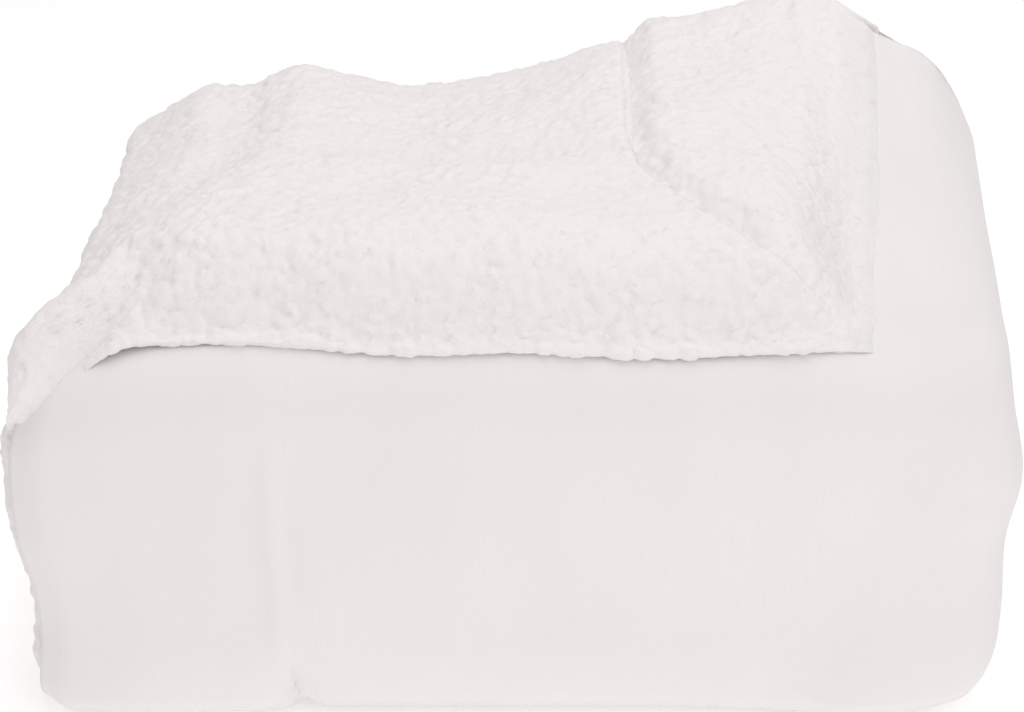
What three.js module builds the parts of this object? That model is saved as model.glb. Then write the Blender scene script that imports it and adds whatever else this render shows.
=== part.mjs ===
// A two-ply fleece throw, folded for a shelf. It lies in thirds across its width, then back and
// forth along its length, so that one tall smooth ply makes the front and the last layer lies
// sherpa side up. Millimetres: +X is to the right, +Y to the back and +Z up. The origin is the
// middle of the underside of the bounding box.
import * as THREE from "three";

// Cloth
const FLANNEL_THICKNESS = 2.75;
const SHERPA_THICKNESS = 7.2;
const PANEL_GAP = 0.8;
const PLY_GAP = 1;
const LAYER_GAP = 2;
const FLANNEL_COLOR = 0xebe7e6;
const SHERPA_COLOR = 0xefebea;
const FLANNEL_ROUGHNESS = 0.9;
const SHERPA_ROUGHNESS = 1;

// Folded size
const FOLDED_WIDTH = 425;
const FOLDED_DEPTH = 272;
const WRAPPED_LAYERS = 5;
const CORNER_INNER_RADIUS = 3.5;
const INNER_END_CLEARANCE = 10;

// Edges of the cloth, as distances from the folded sides
const FLANNEL_EDGE_INSET = 15;
const SHERPA_EDGE_INSET = 2;
const FLAP_EDGE_FRONT_X = 154;
const FLAP_EDGE_REAR_X = 167;
const FLAP_FOLD_SETBACK = 16;

// The flap: its two lower plies stop behind the front edge, and the top ply hangs over them
const LOWER_PLIES_SETBACK = 26;
const FRONT_SLOPE_RUN = 62;
const FRONT_SLOPE_CLEARANCE = 6;
const SIDE_SLOPE_RUN = 20;
const SIDE_SLOPE_CLEARANCE = 5;
const ROLL_SINK_RUN = 45;
const LEFT_ROLL_X = -150;
const LEFT_ROLL_BLEND = 60;
const TAIL_START_Y = 120;

// How much of the room that an ended ply leaves is taken up by the ply above it
const SINK_SHARE = 0.92;

// The hem of the flap: how far it hangs round the front corner, in degrees, by place
const HEM_LINE = [
  { x: -212, hang: 60 },
  { x: -186, hang: 53 },
  { x: -160, hang: 38 },
  { x: -92, hang: 42 },
  { x: -46, hang: 47 },
  { x: 20, hang: 48 },
  { x: 80, hang: 46 },
  { x: 154, hang: 43 },
  { x: 212, hang: 43 },
];

// The slanting tuck in the flap, from the hem at the right to the back
const TUCK_LINE = [
  { y: 20, x: 140 },
  { y: 31, x: 118 },
  { y: 48, x: 96 },
  { y: 66, x: 80 },
  { y: 92, x: 62 },
  { y: 113, x: 51 },
  { y: 140, x: 46 },
  { y: 232, x: 48 },
];
const TUCK_FOLD_CLEARANCE = 19;
const RIGHT_FOLD_STOP = 3;
const TUCK_HEIGHT = 9;
const TUCK_FACE_RUN = 14;
const TUCK_BACK_REACH = 60;
const TUCK_FRONT = { from: 18, to: 44 };
const TUCK_REAR = { from: 215, to: 130 };

// Height of the crest at the back and along the front of the flap, by place
const REAR_CREST = [
  { x: -213, z: 186 },
  { x: -176, z: 198 },
  { x: -144, z: 206 },
  { x: -103, z: 212 },
  { x: -47, z: 200 },
  { x: -10, z: 206 },
  { x: 41, z: 221 },
  { x: 58, z: 230 },
  { x: 90, z: 247 },
  { x: 140, z: 243 },
  { x: 170, z: 245 },
  { x: 200, z: 247 },
  { x: 213, z: 243 },
];
const FRONT_CREST = [
  { x: -213, z: 188 },
  { x: -170, z: 204 },
  { x: -120, z: 210 },
  { x: 0, z: 212 },
  { x: 100, z: 209 },
  { x: 213, z: 206 },
];
const FRONT_CREST_Y = 40;
const REAR_CREST_Y = 244;

// Outline of the sides, by height
const RIGHT_SIDE = [
  { z: 0, x: 176 },
  { z: 8, x: 189 },
  { z: 22, x: 197 },
  { z: 46, x: 203 },
  { z: 84, x: 207 },
  { z: 114, x: 211 },
  { z: 150, x: 206 },
  { z: 200, x: 202 },
];
const LEFT_SIDE = [
  { z: 0, x: -197 },
  { z: 20, x: -203 },
  { z: 50, x: -207 },
  { z: 94, x: -210 },
  { z: 150, x: -212 },
  { z: 200, x: -212 },
];
const LEFT_REAR_NARROWING = 10;
const LEFT_TOP_NARROWING = { inset: 28, fromY: 4, toY: 46, fromZ: 140, toZ: 175 };
const FRONT_END_ROUNDING = { left: 7, right: 15, power: 6 };
const FRONT_FOOT = { z: 8, height: 11, reach: 60, push: 6 };

// How far the front swells forward along its bottom, by place
const FRONT_SWELL = [
  { x: -213, push: 3 },
  { x: -175, push: 9 },
  { x: -120, push: 6 },
  { x: -90, push: 0 },
  { x: -40, push: 0 },
  { x: 60, push: 1 },
  { x: 140, push: 11 },
  { x: 185, push: 8 },
  { x: 213, push: 3 },
];
const FRONT_SWELL_HEIGHT = 45;
const REAR_END_ROUNDING = { depth: 20, power: 4 };

// Mesh steps
const ACROSS_STEPS = [2, 4, 1, 1, 2];
const SIDE_HEM_STEPS = 3;
const RIGHT_FOLD_STEPS = 3;
const LEFT_FOLD_STEPS = 4;
const LAYER_STEPS = 2;
const TAIL_STEPS = 8;

// Worked out from the sizes above
const PLY = FLANNEL_THICKNESS + PANEL_GAP + SHERPA_THICKNESS;
const PLY_PITCH = PLY + PLY_GAP;
const LAYER = 3 * PLY + 2 * PLY_GAP;
const LAYER_PITCH = LAYER + LAYER_GAP;
const FACE = PLY / 2;
const HALF_WIDTH = FOLDED_WIDTH / 2;
const SIDE_FOLD_RADIUS = PLY_PITCH / 2;
const SIDE_FOLD_REACH = SIDE_FOLD_RADIUS + FACE;
const LAYER_FOLD_RADIUS = LAYER_PITCH / 2;
const LAYER_FOLD_REACH = LAYER_FOLD_RADIUS + LAYER / 2;
const REAR_FOLD_Y = FOLDED_DEPTH - LAYER_FOLD_REACH;
const INNER_FOLD_Y = LAYER + LAYER_GAP + LAYER_FOLD_REACH;
const LAYER_RUN = REAR_FOLD_Y - INNER_FOLD_Y;
const CORNER_RADIUS = CORNER_INNER_RADIUS + LAYER / 2;
const CORNER_REACH = CORNER_RADIUS + LAYER / 2;
const WRAP_HEIGHT = WRAPPED_LAYERS * LAYER_PITCH - LAYER_GAP;
const FLAT_TOP = WRAP_HEIGHT + LAYER_PITCH;
const OVERHANG_RADIUS = CORNER_RADIUS + LAYER_PITCH;
const LEFT_FOLD_X = -HALF_WIDTH + SIDE_FOLD_REACH;

const lerp = THREE.MathUtils.lerp;
const clamp = THREE.MathUtils.clamp;

function smooth(from, to, value) {
  const t = clamp((value - from) / (to - from), 0, 1);
  return t * t * (3 - 2 * t);
}

// A smooth curve through the rows of a table, and straight on past its ends
function tableValue(rows, input, output, value) {
  const last = rows.length - 1;
  const slope = (a, b) => (rows[b][output] - rows[a][output]) / (rows[b][input] - rows[a][input]);
  let i = 0;
  while (i < last - 1 && value > rows[i + 1][input]) {
    i += 1;
  }
  const span = rows[i + 1][input] - rows[i][input];
  const t = clamp((value - rows[i][input]) / span, 0, 1);
  const slopeIn = slope(Math.max(i - 1, 0), i + 1);
  const slopeOut = slope(i, Math.min(i + 2, last));
  const t2 = t * t;
  const t3 = t2 * t;
  return (
    rows[i][output] * (2 * t3 - 3 * t2 + 1) +
    slopeIn * span * (t3 - 2 * t2 + t) +
    rows[i + 1][output] * (3 * t2 - 2 * t3) +
    slopeOut * span * (t3 - t2)
  );
}

// The way of the folded strip in the Y-Z plane, from the cloth's inner end to the flap.
// A turn is in degrees, positive to the strip's smooth side.
const LEGS = [
  { name: "inner end", run: INNER_FOLD_Y - LAYER - INNER_END_CLEARANCE, steps: 1 },
  { name: "layer 4", run: LAYER_RUN, steps: LAYER_STEPS },
  { name: "fold 4 to 3", turn: -180, radius: LAYER_FOLD_RADIUS, steps: 4 },
  { name: "layer 3", run: LAYER_RUN, steps: LAYER_STEPS },
  { name: "fold 3 to 2", turn: 180, radius: LAYER_FOLD_RADIUS, steps: 3 },
  { name: "layer 2", run: LAYER_RUN, steps: LAYER_STEPS },
  { name: "fold 2 to 1", turn: -180, radius: LAYER_FOLD_RADIUS, steps: 4 },
  { name: "layer 1", run: LAYER_RUN, steps: LAYER_STEPS },
  { name: "layer 1 front", run: INNER_FOLD_Y - CORNER_REACH, steps: 1 },
  { name: "bottom corner", turn: -90, radius: CORNER_RADIUS, steps: 2 },
  { name: "front", run: WRAP_HEIGHT - 2 * CORNER_REACH, steps: 3 },
  { name: "top corner", turn: -90, radius: CORNER_RADIUS, steps: 4 },
  { name: "layer 5 front", run: INNER_FOLD_Y - CORNER_REACH, steps: 1 },
  { name: "layer 5", run: LAYER_RUN, steps: LAYER_STEPS },
  { name: "fold 5 to 6", turn: 180, radius: LAYER_FOLD_RADIUS, steps: 10 },
  { name: "flap", run: REAR_FOLD_Y - CORNER_REACH, steps: 2 },
  { name: "overhang", turn: 90, radius: OVERHANG_RADIUS, steps: 0 },
];

function legLength(leg) {
  return leg.turn ? THREE.MathUtils.degToRad(Math.abs(leg.turn)) * leg.radius : leg.run;
}

// Each leg's start: how far along the strip, where, and its heading, with 0 to the back
function placeLegs() {
  const at = { s: 0, y: LAYER + INNER_END_CLEARANCE, z: 3 * LAYER_PITCH + LAYER / 2, heading: 0 };
  for (const leg of LEGS) {
    Object.assign(leg, { ...at });
    const end = legPoint(leg, legLength(leg));
    Object.assign(at, { s: leg.s + legLength(leg), y: end.y, z: end.z, heading: end.heading });
  }
}

function legPoint(leg, along) {
  if (!leg.turn) {
    const y = leg.y + along * Math.cos(leg.heading);
    const z = leg.z + along * Math.sin(leg.heading);
    return { y, z, heading: leg.heading };
  }
  const side = Math.sign(leg.turn);
  const heading = leg.heading + (side * along) / leg.radius;
  const y = leg.y + side * leg.radius * (Math.sin(heading) - Math.sin(leg.heading));
  const z = leg.z - side * leg.radius * (Math.cos(heading) - Math.cos(leg.heading));
  return { y, z, heading };
}

placeLegs();

function pathPoint(s) {
  let leg = LEGS[0];
  for (const candidate of LEGS) {
    if (candidate.s <= s) {
      leg = candidate;
    }
  }
  return legPoint(leg, s - leg.s);
}

const legStart = (name) => LEGS.find((leg) => leg.name === name).s;
const ROLL_START = legStart("fold 5 to 6");
const FLAP_START = legStart("flap");
const OVERHANG_START = legStart("overhang");
const TAIL_START = FLAP_START + REAR_FOLD_Y - TAIL_START_Y;
const LOWER_PLIES_END = OVERHANG_START - LOWER_PLIES_SETBACK;

// The flap's side edge, the fold of its lower plies and its tuck, by depth
const flapEdgeX = (y) => lerp(FLAP_EDGE_FRONT_X, FLAP_EDGE_REAR_X, smooth(0, REAR_FOLD_Y, y));
const flapFoldX = (y) => flapEdgeX(y) - FLAP_FOLD_SETBACK - SIDE_FOLD_REACH;
const tuckX = (y) => Math.min(tableValue(TUCK_LINE, "y", "x", y), flapFoldX(y) - TUCK_FOLD_CLEARANCE);

// The side edge of the sherpa ply, and the right fold of the other two
function sherpaEdgeX(s, y) {
  return lerp(HALF_WIDTH - SHERPA_EDGE_INSET, flapEdgeX(y), smooth(ROLL_START, FLAP_START, s));
}

function rightFoldX(s, y) {
  return lerp(HALF_WIDTH - SIDE_FOLD_REACH, flapFoldX(y), smooth(ROLL_START, FLAP_START, s));
}

// Places across a ply where its columns change pace, the same in every layer
function acrossStops(first, y, foldX) {
  const tuckFace = tuckX(y);
  return [
    first,
    LEFT_ROLL_X,
    tuckFace - TUCK_FACE_RUN / 2,
    tuckFace + TUCK_FACE_RUN,
    flapFoldX(y) - RIGHT_FOLD_STOP,
    foldX,
  ];
}

function alongStops(stops, t) {
  const i = Math.min(Math.floor(t), stops.length - 2);
  return lerp(stops[i], stops[i + 1], t - i);
}

// Columns of the section: three plies joined by a right and a left fold, and the side hem
function sectionColumns() {
  const across = [0];
  ACROSS_STEPS.forEach((steps, span) => {
    for (let i = 1; i <= steps; i += 1) {
      across.push(span + i / steps);
    }
  });
  const ply = (part) => across.map((t) => ({ part, t }));
  const fold = (part, steps) =>
    Array.from({ length: steps - 1 }, (_, i) => ({ part, t: (i + 1) / steps }));
  const sideHem = Array.from({ length: SIDE_HEM_STEPS }, (_, i) => ({
    part: "sherpa ply",
    t: ACROSS_STEPS.length + (i + 1) / SIDE_HEM_STEPS,
  }));
  return [
    ...ply("smooth ply"),
    ...fold("right fold", RIGHT_FOLD_STEPS),
    ...ply("middle ply").reverse(),
    ...fold("left fold", LEFT_FOLD_STEPS),
    ...ply("sherpa ply"),
    ...sideHem,
  ];
}

// A point of the section: x across, n towards the smooth side of the strip, and the way (nx, nn)
// that the ply's own smooth side faces
function sectionPoint({ part, t }, s, y) {
  const foldX = rightFoldX(s, y);
  if (part === "smooth ply") {
    const x = alongStops(acrossStops(-HALF_WIDTH + FLANNEL_EDGE_INSET, y, foldX), t);
    return { x, n: PLY_PITCH, nx: 0, nn: 1 };
  }
  if (part === "right fold") {
    const a = Math.PI * (0.5 - t);
    const x = foldX + SIDE_FOLD_RADIUS * Math.cos(a);
    return { x, n: SIDE_FOLD_RADIUS * (1 + Math.sin(a)), nx: Math.cos(a), nn: Math.sin(a) };
  }
  if (part === "middle ply") {
    return { x: alongStops(acrossStops(LEFT_FOLD_X, y, foldX), t), n: 0, nx: 0, nn: -1 };
  }
  if (part === "left fold") {
    const a = Math.PI * (0.5 + t);
    const x = LEFT_FOLD_X + SIDE_FOLD_RADIUS * Math.cos(a);
    return { x, n: SIDE_FOLD_RADIUS * (Math.sin(a) - 1), nx: -Math.cos(a), nn: -Math.sin(a) };
  }
  const x = alongStops([...acrossStops(LEFT_FOLD_X, y, foldX), sherpaEdgeX(s, y)], t);
  return { x, n: -PLY_PITCH, nx: 0, nn: 1 };
}

// Where the cloth ends along the strip, for a column
function endOf(column) {
  const hemEnd = (x) => {
    const hang = THREE.MathUtils.degToRad(tableValue(HEM_LINE, "x", "hang", x));
    return OVERHANG_START + hang * OVERHANG_RADIUS;
  };
  const rollEnd = hemEnd(LEFT_FOLD_X);
  if (column.part === "smooth ply" || column.part === "right fold") {
    return LOWER_PLIES_END;
  }
  if (column.part === "middle ply") {
    return lerp(LOWER_PLIES_END, rollEnd, smooth(1, 0, column.t));
  }
  if (column.part === "left fold") {
    return rollEnd;
  }
  return hemEnd(sectionPoint(column, OVERHANG_START, 0).x);
}

// How far a ply of the flap sinks towards the layer below, past the ends of the lower plies
function sink(column, x, s, y) {
  const front = smooth(0, FRONT_SLOPE_RUN, s - LOWER_PLIES_END - FRONT_SLOPE_CLEARANCE);
  if (column.part === "middle ply" || column.part === "left fold") {
    return SINK_SHARE * PLY_PITCH * front;
  }
  if (column.part !== "sherpa ply") {
    return 0;
  }
  const side =
    smooth(0, SIDE_SLOPE_RUN, x - rightFoldX(s, y) - SIDE_SLOPE_CLEARANCE) *
    smooth(FLAP_START - ROLL_SINK_RUN, FLAP_START, s);
  const depth = SINK_SHARE * PLY_PITCH * (1 + smooth(LEFT_ROLL_X, LEFT_ROLL_X + LEFT_ROLL_BLEND, x));
  return depth * (1 - (1 - front) * (1 - side)) - tuck(x, s, y);
}

function tuck(x, s, y) {
  const across = tuckX(y) - x;
  const shape =
    across > 0 ? Math.exp(-((across / TUCK_BACK_REACH) ** 2)) : smooth(-TUCK_FACE_RUN, 0, across);
  const along = smooth(TUCK_REAR.from, TUCK_REAR.to, y) * smooth(TUCK_FRONT.from, TUCK_FRONT.to, y);
  return s > FLAP_START ? TUCK_HEIGHT * shape * along : 0;
}

// The outline that the folded cloth takes: each part moves a little, and nothing crosses
function settle(x, y, z) {
  const back = Math.max(0, (y - FRONT_CREST_Y) / (REAR_CREST_Y - FRONT_CREST_Y));
  const crest = lerp(tableValue(FRONT_CREST, "x", "z", x), tableValue(REAR_CREST, "x", "z", x), back);
  const reach = Math.abs(x) / HALF_WIDTH;
  const top = LEFT_TOP_NARROWING;
  const narrowing =
    LEFT_REAR_NARROWING * smooth(0, REAR_CREST_Y, y) +
    top.inset * smooth(top.fromY, top.toY, y) * smooth(top.fromZ, top.toZ, z);
  const side =
    x > 0
      ? tableValue(RIGHT_SIDE, "z", "x", z) - HALF_WIDTH
      : tableValue(LEFT_SIDE, "z", "x", z) + HALF_WIDTH + narrowing;
  const end = x > 0 ? FRONT_END_ROUNDING.right : FRONT_END_ROUNDING.left;
  const halfDepth = FOLDED_DEPTH / 2;
  const front = end * reach ** FRONT_END_ROUNDING.power * smooth(halfDepth, 0, y);
  const rearReach = reach ** REAR_END_ROUNDING.power;
  const rear = REAR_END_ROUNDING.depth * rearReach * smooth(halfDepth, FOLDED_DEPTH, y);
  const foot = FRONT_FOOT.push * Math.exp(-(((z - FRONT_FOOT.z) / FRONT_FOOT.height) ** 2));
  const swell = tableValue(FRONT_SWELL, "x", "push", x) * Math.exp(-((z / FRONT_SWELL_HEIGHT) ** 2));
  const forward = (foot + swell) * smooth(FRONT_FOOT.reach, 0, y);
  return new THREE.Vector3(x + side * reach ** 2, y + front - rear - forward, (z * crest) / FLAT_TOP);
}

function clothPoint(column, row, offset) {
  const s = row.tail === undefined ? row.s : lerp(TAIL_START, endOf(column), row.tail);
  const { y, z, heading } = pathPoint(s);
  const depth = clamp(y, 0, REAR_FOLD_Y);
  const section = sectionPoint(column, s, depth);
  const x = section.x + offset * section.nx;
  const n = section.n + offset * section.nn + sink(column, section.x, s, depth);
  return settle(x, y - n * Math.sin(heading), z + n * Math.cos(heading));
}

// Rows along the strip, each with whether the span up to it runs straight to the front
function stripRows() {
  const rows = [{ s: 0 }];
  for (const leg of LEGS) {
    const length = leg.name === "flap" ? TAIL_START - leg.s : legLength(leg);
    const forward = !leg.turn && Math.cos(leg.heading) < 0;
    for (let i = 1; i <= leg.steps; i += 1) {
      rows.push({ s: leg.s + (length * i) / leg.steps, forward });
    }
  }
  for (let i = 1; i <= TAIL_STEPS; i += 1) {
    rows.push({ tail: i / TAIL_STEPS, forward: true });
  }
  return rows;
}

// One panel of cloth between two offsets from the middle of the ply, closed at its four edges.
// Plies that face each other have their diagonals the same way, so that they stay apart.
function panelGeometry(inner, outer) {
  const columns = sectionColumns();
  const rows = stripRows();
  const points = [outer, inner].flatMap((offset) =>
    rows.flatMap((row) => columns.map((column) => clothPoint(column, row, offset))),
  );
  const at = (side, r, c) => (side * rows.length + r) * columns.length + c;
  const faces = [];
  const quad = (a, b, c, d, turned) => faces.push(...(turned ? [b, c, d, b, d, a] : [a, b, c, a, c, d]));
  const lastRow = rows.length - 1;
  const last = columns.length - 1;
  for (let r = 0; r < lastRow; r += 1) {
    for (let c = 0; c < last; c += 1) {
      const turned = rows[r + 1].forward !== (columns[c].part === "middle ply");
      quad(at(0, r, c), at(0, r, c + 1), at(0, r + 1, c + 1), at(0, r + 1, c), turned);
      quad(at(1, r + 1, c + 1), at(1, r, c + 1), at(1, r, c), at(1, r + 1, c), turned);
    }
    quad(at(0, r, 0), at(0, r + 1, 0), at(1, r + 1, 0), at(1, r, 0), false);
    quad(at(1, r, last), at(1, r + 1, last), at(0, r + 1, last), at(0, r, last), false);
  }
  for (let c = 0; c < last; c += 1) {
    quad(at(0, 0, c), at(1, 0, c), at(1, 0, c + 1), at(0, 0, c + 1), false);
    quad(at(0, lastRow, c), at(0, lastRow, c + 1), at(1, lastRow, c + 1), at(1, lastRow, c), false);
  }
  const geometry = new THREE.BufferGeometry().setFromPoints(points);
  geometry.setIndex(faces);
  return geometry;
}

function panel(name, inner, outer, color, roughness) {
  const material = new THREE.MeshStandardMaterial({ color, roughness, metalness: 0 });
  const mesh = new THREE.Mesh(panelGeometry(inner, outer), material);
  mesh.name = name;
  return mesh;
}

const throwGroup = new THREE.Group();
throwGroup.add(panel("flannel_panel", FACE - FLANNEL_THICKNESS, FACE, FLANNEL_COLOR, FLANNEL_ROUGHNESS));
throwGroup.add(panel("sherpa_panel", -FACE, SHERPA_THICKNESS - FACE, SHERPA_COLOR, SHERPA_ROUGHNESS));

// The middle of the underside comes to the origin
const box = new THREE.Box3().setFromObject(throwGroup);
throwGroup.position.set(-(box.min.x + box.max.x) / 2, -(box.min.y + box.max.y) / 2, -box.min.z);

export default throwGroup;
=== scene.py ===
"""A sherpa fleece blanket, folded in a loose stack, on a plain pale floor."""
import math

import bpy
import numpy as np
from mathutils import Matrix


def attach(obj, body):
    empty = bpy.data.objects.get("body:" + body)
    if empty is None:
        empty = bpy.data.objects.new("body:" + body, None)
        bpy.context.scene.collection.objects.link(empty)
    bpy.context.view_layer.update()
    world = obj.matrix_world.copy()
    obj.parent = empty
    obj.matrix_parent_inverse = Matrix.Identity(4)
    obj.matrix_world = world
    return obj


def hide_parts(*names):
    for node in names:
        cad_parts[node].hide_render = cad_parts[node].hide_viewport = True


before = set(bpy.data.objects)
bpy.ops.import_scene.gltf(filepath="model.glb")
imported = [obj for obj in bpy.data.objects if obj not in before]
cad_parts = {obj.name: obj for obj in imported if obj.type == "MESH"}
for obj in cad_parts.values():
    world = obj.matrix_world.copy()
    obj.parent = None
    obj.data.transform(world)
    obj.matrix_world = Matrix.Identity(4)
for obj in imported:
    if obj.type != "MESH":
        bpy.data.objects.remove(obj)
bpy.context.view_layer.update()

MM = 0.001

# The folded cloth, in millimetres, before it is moved to the frame's origin
SHIFT = np.array([1.4436, -130.7514, 0.0])
FLANNEL_THICKNESS = 2.75
PLY = 10.75
FACE = PLY / 2
PLY_GAP = 1.0
LAYER_GAP = 2.0
PLY_PITCH = PLY + PLY_GAP
LAYER = 3 * PLY + 2 * PLY_GAP
LAYER_PITCH = LAYER + LAYER_GAP
HALF_WIDTH = 212.5
DEPTH = 272.0
SIDE_FOLD_RADIUS = PLY_PITCH / 2
SIDE_FOLD_REACH = SIDE_FOLD_RADIUS + FACE
LAYER_FOLD_RADIUS = LAYER_PITCH / 2
LAYER_FOLD_REACH = LAYER_FOLD_RADIUS + LAYER / 2
REAR_FOLD_Y = DEPTH - LAYER_FOLD_REACH
INNER_FOLD_Y = LAYER + LAYER_GAP + LAYER_FOLD_REACH
LAYER_RUN = REAR_FOLD_Y - INNER_FOLD_Y
INSIDE_CORNER_RADIUS = 3.5
CORNER_RADIUS = INSIDE_CORNER_RADIUS + LAYER / 2
CORNER_REACH = CORNER_RADIUS + LAYER / 2
INNER_END_CLEARANCE = 10.0
WRAP_HEIGHT = 5 * LAYER_PITCH - LAYER_GAP
FLAT_TOP = WRAP_HEIGHT + LAYER_PITCH
OVERHANG_RADIUS = CORNER_RADIUS + LAYER_PITCH
LEFT_FOLD_X = -HALF_WIDTH + SIDE_FOLD_REACH
FLANNEL_HEM_SETBACK = 5.5
FLANNEL_HEM_X = -HALF_WIDTH + FLANNEL_HEM_SETBACK
SHERPA_HEM_X = HALF_WIDTH - 2.0
# Columns keep their x along the whole strip up to here, and share out what lies past it
PACE_X = 125.0

FLAP_EDGE_FRONT_X = 154.0
FLAP_EDGE_REAR_X = 167.0
FLAP_FOLD_SETBACK = 16.0
LOWER_PLIES_SETBACK = 26.0
FRONT_SLOPE = (6.0, 62.0)
SIDE_SLOPE = (5.0, 20.0)
SINK_SHARE = 0.92
LEFT_ROLL_X = -150.0
LEFT_ROLL_BLEND = 60.0
TAIL_START_Y = 120.0
# A row number past this one is this number and a share of the tail, from TAIL_START to the hem
TAIL_ROWS = 1e5

# How the flap is squashed. A pair is where a change starts and where it is complete, by x, by the distance to
# a hem or along the strip. The front hem's thinning starts nearer the hem along most of it than at the ear.
RIGHT_THICKNESS = 0.36
RIGHT_THINNING_X = (105, 158)
SIDE_HEM_THICKNESS = 0.13
SIDE_HEM_THINNING = (38, 3)
HEM_THINNING = 40
EAR_THINNING = 72
EAR_THINNING_X = (-150, -190)
HEM_THINNING_END = 5
STACK_CLEARANCE = 1.5
ROLL_CORE = 1.2
ROLL_CORE_RUN = (1, -12)
SIDE_HEM_SINK = 1.3
SIDE_HEM_SINK_RUN = (8, 1)
EAR_X = (-168, -188)
EAR_LENGTH = (50, 10)
EAR_SINK = 4.4
EAR_TIP_SINK = 6.0
EAR_TIP_X = (-204, -212.5)
FLANNEL_EDGE_SINK = 6.0
FLANNEL_EDGE_X = (-188, FLANNEL_HEM_X - 1)

# The tuck in profile, in millimetres. The near side's edge stands up by the lip. The far side lies lower at
# the tuck, rises away from it and falls again, by a first height towards the front and a second towards the
# back. A run is where a change starts and where it is complete, away from the tuck or along it.
TUCK_LIP = 2.8
TUCK_LIP_WIDTH = 24
TUCK_STEP = (0, 3.0)
TUCK_DROP = 2.8
TUCK_RISE = (7.8, 4.4)
TUCK_RISE_RUN = (1.5, 19)
TUCK_FALL = (5.0, 1.6)
TUCK_FALL_RUN = (22, 75)
# Along the tuck: its start, and before its end, the change to the second heights and its own dying out
TUCK_START_RUN = (6, 46)
TUCK_BACK_RUN = (130, 90)
TUCK_END_RUN = (-6, 40)
# How far the tuck still reaches down the roll
TUCK_ROLL_RUN = 40

# x, and how many degrees the flap's hem hangs round the front corner
HEM_LINE = ((-213, 88), (-205, 84), (-196, 74), (-188, 60), (-180, 45), (-172, 36), (-160, 31), (-137, 31.5),
            (-92, 34.5), (-46, 41), (20, 42), (80, 41), (154, 37), (212, 37))
# x, and the share of its thickness that the flap keeps at its hem
HEM_THICKNESS = ((-213, 0.05), (-188, 0.05), (-178, 0.08), (-168, 0.16), (-157, 0.12), (-144, 0.06),
                 (-110, 0.07), (-60, 0.13), (60, 0.15), (130, 0.12), (212, 0.12))
# x, and the height of the top there, at the back and at the front
REAR_CREST = ((-213, 188), (-190, 195), (-176, 200), (-160, 204.5), (-145, 202.5), (-131, 202.5),
              (-118, 208), (-104, 212.5), (-90, 211), (-70, 208.5), (-47, 204), (-20, 206), (4, 211),
              (37, 221.5), (47, 223.5), (54, 229), (62, 233.5), (86, 236.5), (118, 248), (136, 266),
              (148, 283), (158, 284), (168, 278), (176, 274), (186, 270), (195, 262), (205, 248), (213, 238))
FRONT_CREST = ((-213, 188), (-170, 204), (-120, 210), (0, 212), (100, 209), (213, 206))
FRONT_CREST_Y = 40.0
REAR_CREST_Y = 244.0
# Height, and the x of the side there
RIGHT_SIDE = ((0, 179), (8, 192), (22, 200), (46, 204), (84, 205), (114, 211), (150, 206), (200, 203))
LEFT_SIDE = ((0, -204), (20, -205), (45, -203.5), (70, -206), (94, -212), (118, -214.5), (142, -214),
             (156, -210.5), (172, -209), (187, -208.5), (200, -205.5))
# x, and how far the front swells forward at its foot
FRONT_SWELL = ((-213, 3), (-175, 9), (-120, 6), (-90, 0), (-40, -1.5), (60, -1.5), (100, 1), (125, 5),
               (150, 12), (175, 12), (190, 10), (213, 5))
# The tuck across the flap, from the hem's corner to the back: x, y
TUCK_LINE = ((151, 12), (144, 20), (133, 24), (117, 29), (100, 37), (92, 46), (76, 63), (60, 89), (50, 111),
             (46, 140), (46, 180), (46, 232), (47, 262))


def smooth(start, end, value):
    t = np.clip((value - start) / (end - start), 0.0, 1.0)
    return t * t * (3.0 - 2.0 * t)


def lerp(a, b, t):
    return a + (b - a) * t


def curve(rows, value):
    """A smooth curve through the rows, level past their ends."""
    xs = np.array([row[0] for row in rows], float)
    ys = np.array([row[1] for row in rows], float)
    slopes = np.empty_like(ys)
    slopes[1:-1] = (ys[2:] - ys[:-2]) / (xs[2:] - xs[:-2])
    slopes[0] = (ys[1] - ys[0]) / (xs[1] - xs[0])
    slopes[-1] = (ys[-1] - ys[-2]) / (xs[-1] - xs[-2])
    value = np.clip(value, xs[0], xs[-1])
    i = np.clip(np.searchsorted(xs, value, side="right") - 1, 0, len(xs) - 2)
    span = xs[i + 1] - xs[i]
    t = (value - xs[i]) / span
    t2 = t * t
    t3 = t2 * t
    return (ys[i] * (2 * t3 - 3 * t2 + 1) + slopes[i] * span * (t3 - 2 * t2 + t)
            + ys[i + 1] * (3 * t2 - 2 * t3) + slopes[i + 1] * span * (t3 - t2))


# Each leg of the strip's way: name, run, turn in degrees, radius
LEGS = (
    ("inner end", INNER_FOLD_Y - LAYER - INNER_END_CLEARANCE, 0, 0),
    ("layer 4", LAYER_RUN, 0, 0),
    ("fold 4 to 3", 0, -180, LAYER_FOLD_RADIUS),
    ("layer 3", LAYER_RUN, 0, 0),
    ("fold 3 to 2", 0, 180, LAYER_FOLD_RADIUS),
    ("layer 2", LAYER_RUN, 0, 0),
    ("fold 2 to 1", 0, -180, LAYER_FOLD_RADIUS),
    ("layer 1", LAYER_RUN + INNER_FOLD_Y - CORNER_REACH, 0, 0),
    ("bottom corner", 0, -90, CORNER_RADIUS),
    ("front", WRAP_HEIGHT - 2 * CORNER_REACH, 0, 0),
    ("top corner", 0, -90, CORNER_RADIUS),
    ("layer 5", INNER_FOLD_Y - CORNER_REACH + LAYER_RUN, 0, 0),
    ("fold 5 to 6", 0, 180, LAYER_FOLD_RADIUS),
    ("flap", REAR_FOLD_Y - CORNER_REACH, 0, 0),
    ("overhang", 0, 90, OVERHANG_RADIUS),
)


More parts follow.
